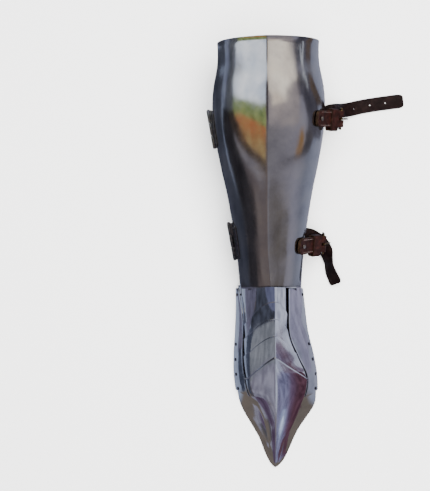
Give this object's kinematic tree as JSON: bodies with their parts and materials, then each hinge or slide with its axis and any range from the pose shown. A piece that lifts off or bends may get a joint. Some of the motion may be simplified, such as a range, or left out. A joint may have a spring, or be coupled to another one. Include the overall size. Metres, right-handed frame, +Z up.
{
  "type": "greave with attached sabaton",
  "caption": "Closed lower-leg defence of two hinged polished steel shells with buckled straps, joined to a pointed articulated sabaton of overlapping lames",
  "frame": {"origin": "Middle of the underside of the bounding box, as the object lies on its back on a table", "axes": "+Z is up, away from the table, on the side of the shin ridge. +Y runs along the leg from the toe to the knee. +X points to the outer side of the leg, with the buckles. The hinges are on the -X side"},
  "size_m": [0.307, 0.6436, 0.166],
  "materials": {
    "greave_steel": "satin polished",
    "sabaton_steel": "mirror polished",
    "hinge_steel": "dark, unpolished",
    "rivet_steel": "worn",
    "buckle_brass": "aged and darkened",
    "chape_leather": "waxed, red brown",
    "strap_leather": "waxed, very dark brown"
  },
  "bodies": {
    "calf": {"calf_shell": "greave_steel", "upper_hinge_calf_leaf": "hinge_steel", "lower_hinge_calf_leaf": "hinge_steel", "upper_hinge_calf_rivet_upper": "rivet_steel", "upper_hinge_calf_rivet_lower": "rivet_steel", "lower_hinge_calf_rivet_upper": "rivet_steel", "lower_hinge_calf_rivet_lower": "rivet_steel", "upper_hinge_pin": "hinge_steel", "lower_hinge_pin": "hinge_steel", "upper_strap": "strap_leather", "lower_strap": "strap_leather", "upper_strap_rivet": "buckle_brass", "lower_strap_rivet": "buckle_brass"},
    "shin": {"shin_shell": "greave_steel", "upper_hinge_shin_leaf": "hinge_steel", "lower_hinge_shin_leaf": "hinge_steel", "upper_hinge_shin_rivet_upper": "rivet_steel", "upper_hinge_shin_rivet_lower": "rivet_steel", "lower_hinge_shin_rivet_upper": "rivet_steel", "lower_hinge_shin_rivet_lower": "rivet_steel", "upper_chape": "chape_leather", "lower_chape": "chape_leather", "upper_keeper": "chape_leather", "lower_keeper": "chape_leather", "upper_chape_rivet": "buckle_brass", "lower_chape_rivet": "buckle_brass", "instep_plate": "sabaton_steel", "lame_1": "sabaton_steel", "lame_2": "sabaton_steel", "lame_3": "sabaton_steel", "toe_cap": "sabaton_steel", "side_plate_inner": "sabaton_steel", "side_plate_outer": "sabaton_steel", "side_rivet_inner_1": "rivet_steel", "side_rivet_inner_2": "rivet_steel", "side_rivet_inner_3": "rivet_steel", "side_rivet_inner_4": "rivet_steel", "side_rivet_inner_5": "rivet_steel", "side_rivet_outer_1": "rivet_steel", "side_rivet_outer_2": "rivet_steel", "side_rivet_outer_3": "rivet_steel", "side_rivet_outer_4": "rivet_steel", "side_rivet_outer_5": "rivet_steel", "ankle_leather": "strap_leather"},
    "upper_buckle_frame": {"upper_buckle": "buckle_brass"},
    "lower_buckle_frame": {"lower_buckle": "buckle_brass"},
    "upper_buckle_prong": {"upper_prong": "buckle_brass"},
    "lower_buckle_prong": {"lower_prong": "buckle_brass"}
  },
  "joints": [
    {"name": "shell_hinge", "type": "hinge", "parent": "calf", "child": "shin", "pos_m": [-0.1458, 0.1951, 0.07588], "axis": [0.1797, -0.9762, -0.1214], "range_deg": [0, 100]},
    {"name": "upper_buckle_swing", "type": "hinge", "parent": "shin", "child": "upper_buckle_frame", "pos_m": [0.04528, 0.20954, 0.0818], "axis": [-0.0601, -0.9818, -0.18], "range_deg": [0, 60]},
    {"name": "upper_prong_swing", "type": "hinge", "parent": "upper_buckle_frame", "child": "upper_buckle_prong", "pos_m": [0.04528, 0.20954, 0.0818], "axis": [-0.0601, -0.9818, -0.18], "range_deg": [-24, 30]},
    {"name": "lower_buckle_swing", "type": "hinge", "parent": "shin", "child": "lower_buckle_frame", "pos_m": [0.02386, 0.02558, 0.04167], "axis": [-0.0536, -0.9827, -0.1773], "range_deg": [0, 60]},
    {"name": "lower_prong_swing", "type": "hinge", "parent": "lower_buckle_frame", "child": "lower_buckle_prong", "pos_m": [0.02386, 0.02558, 0.04167], "axis": [-0.0536, -0.9827, -0.1773], "range_deg": [-24, 30]}
  ]
}
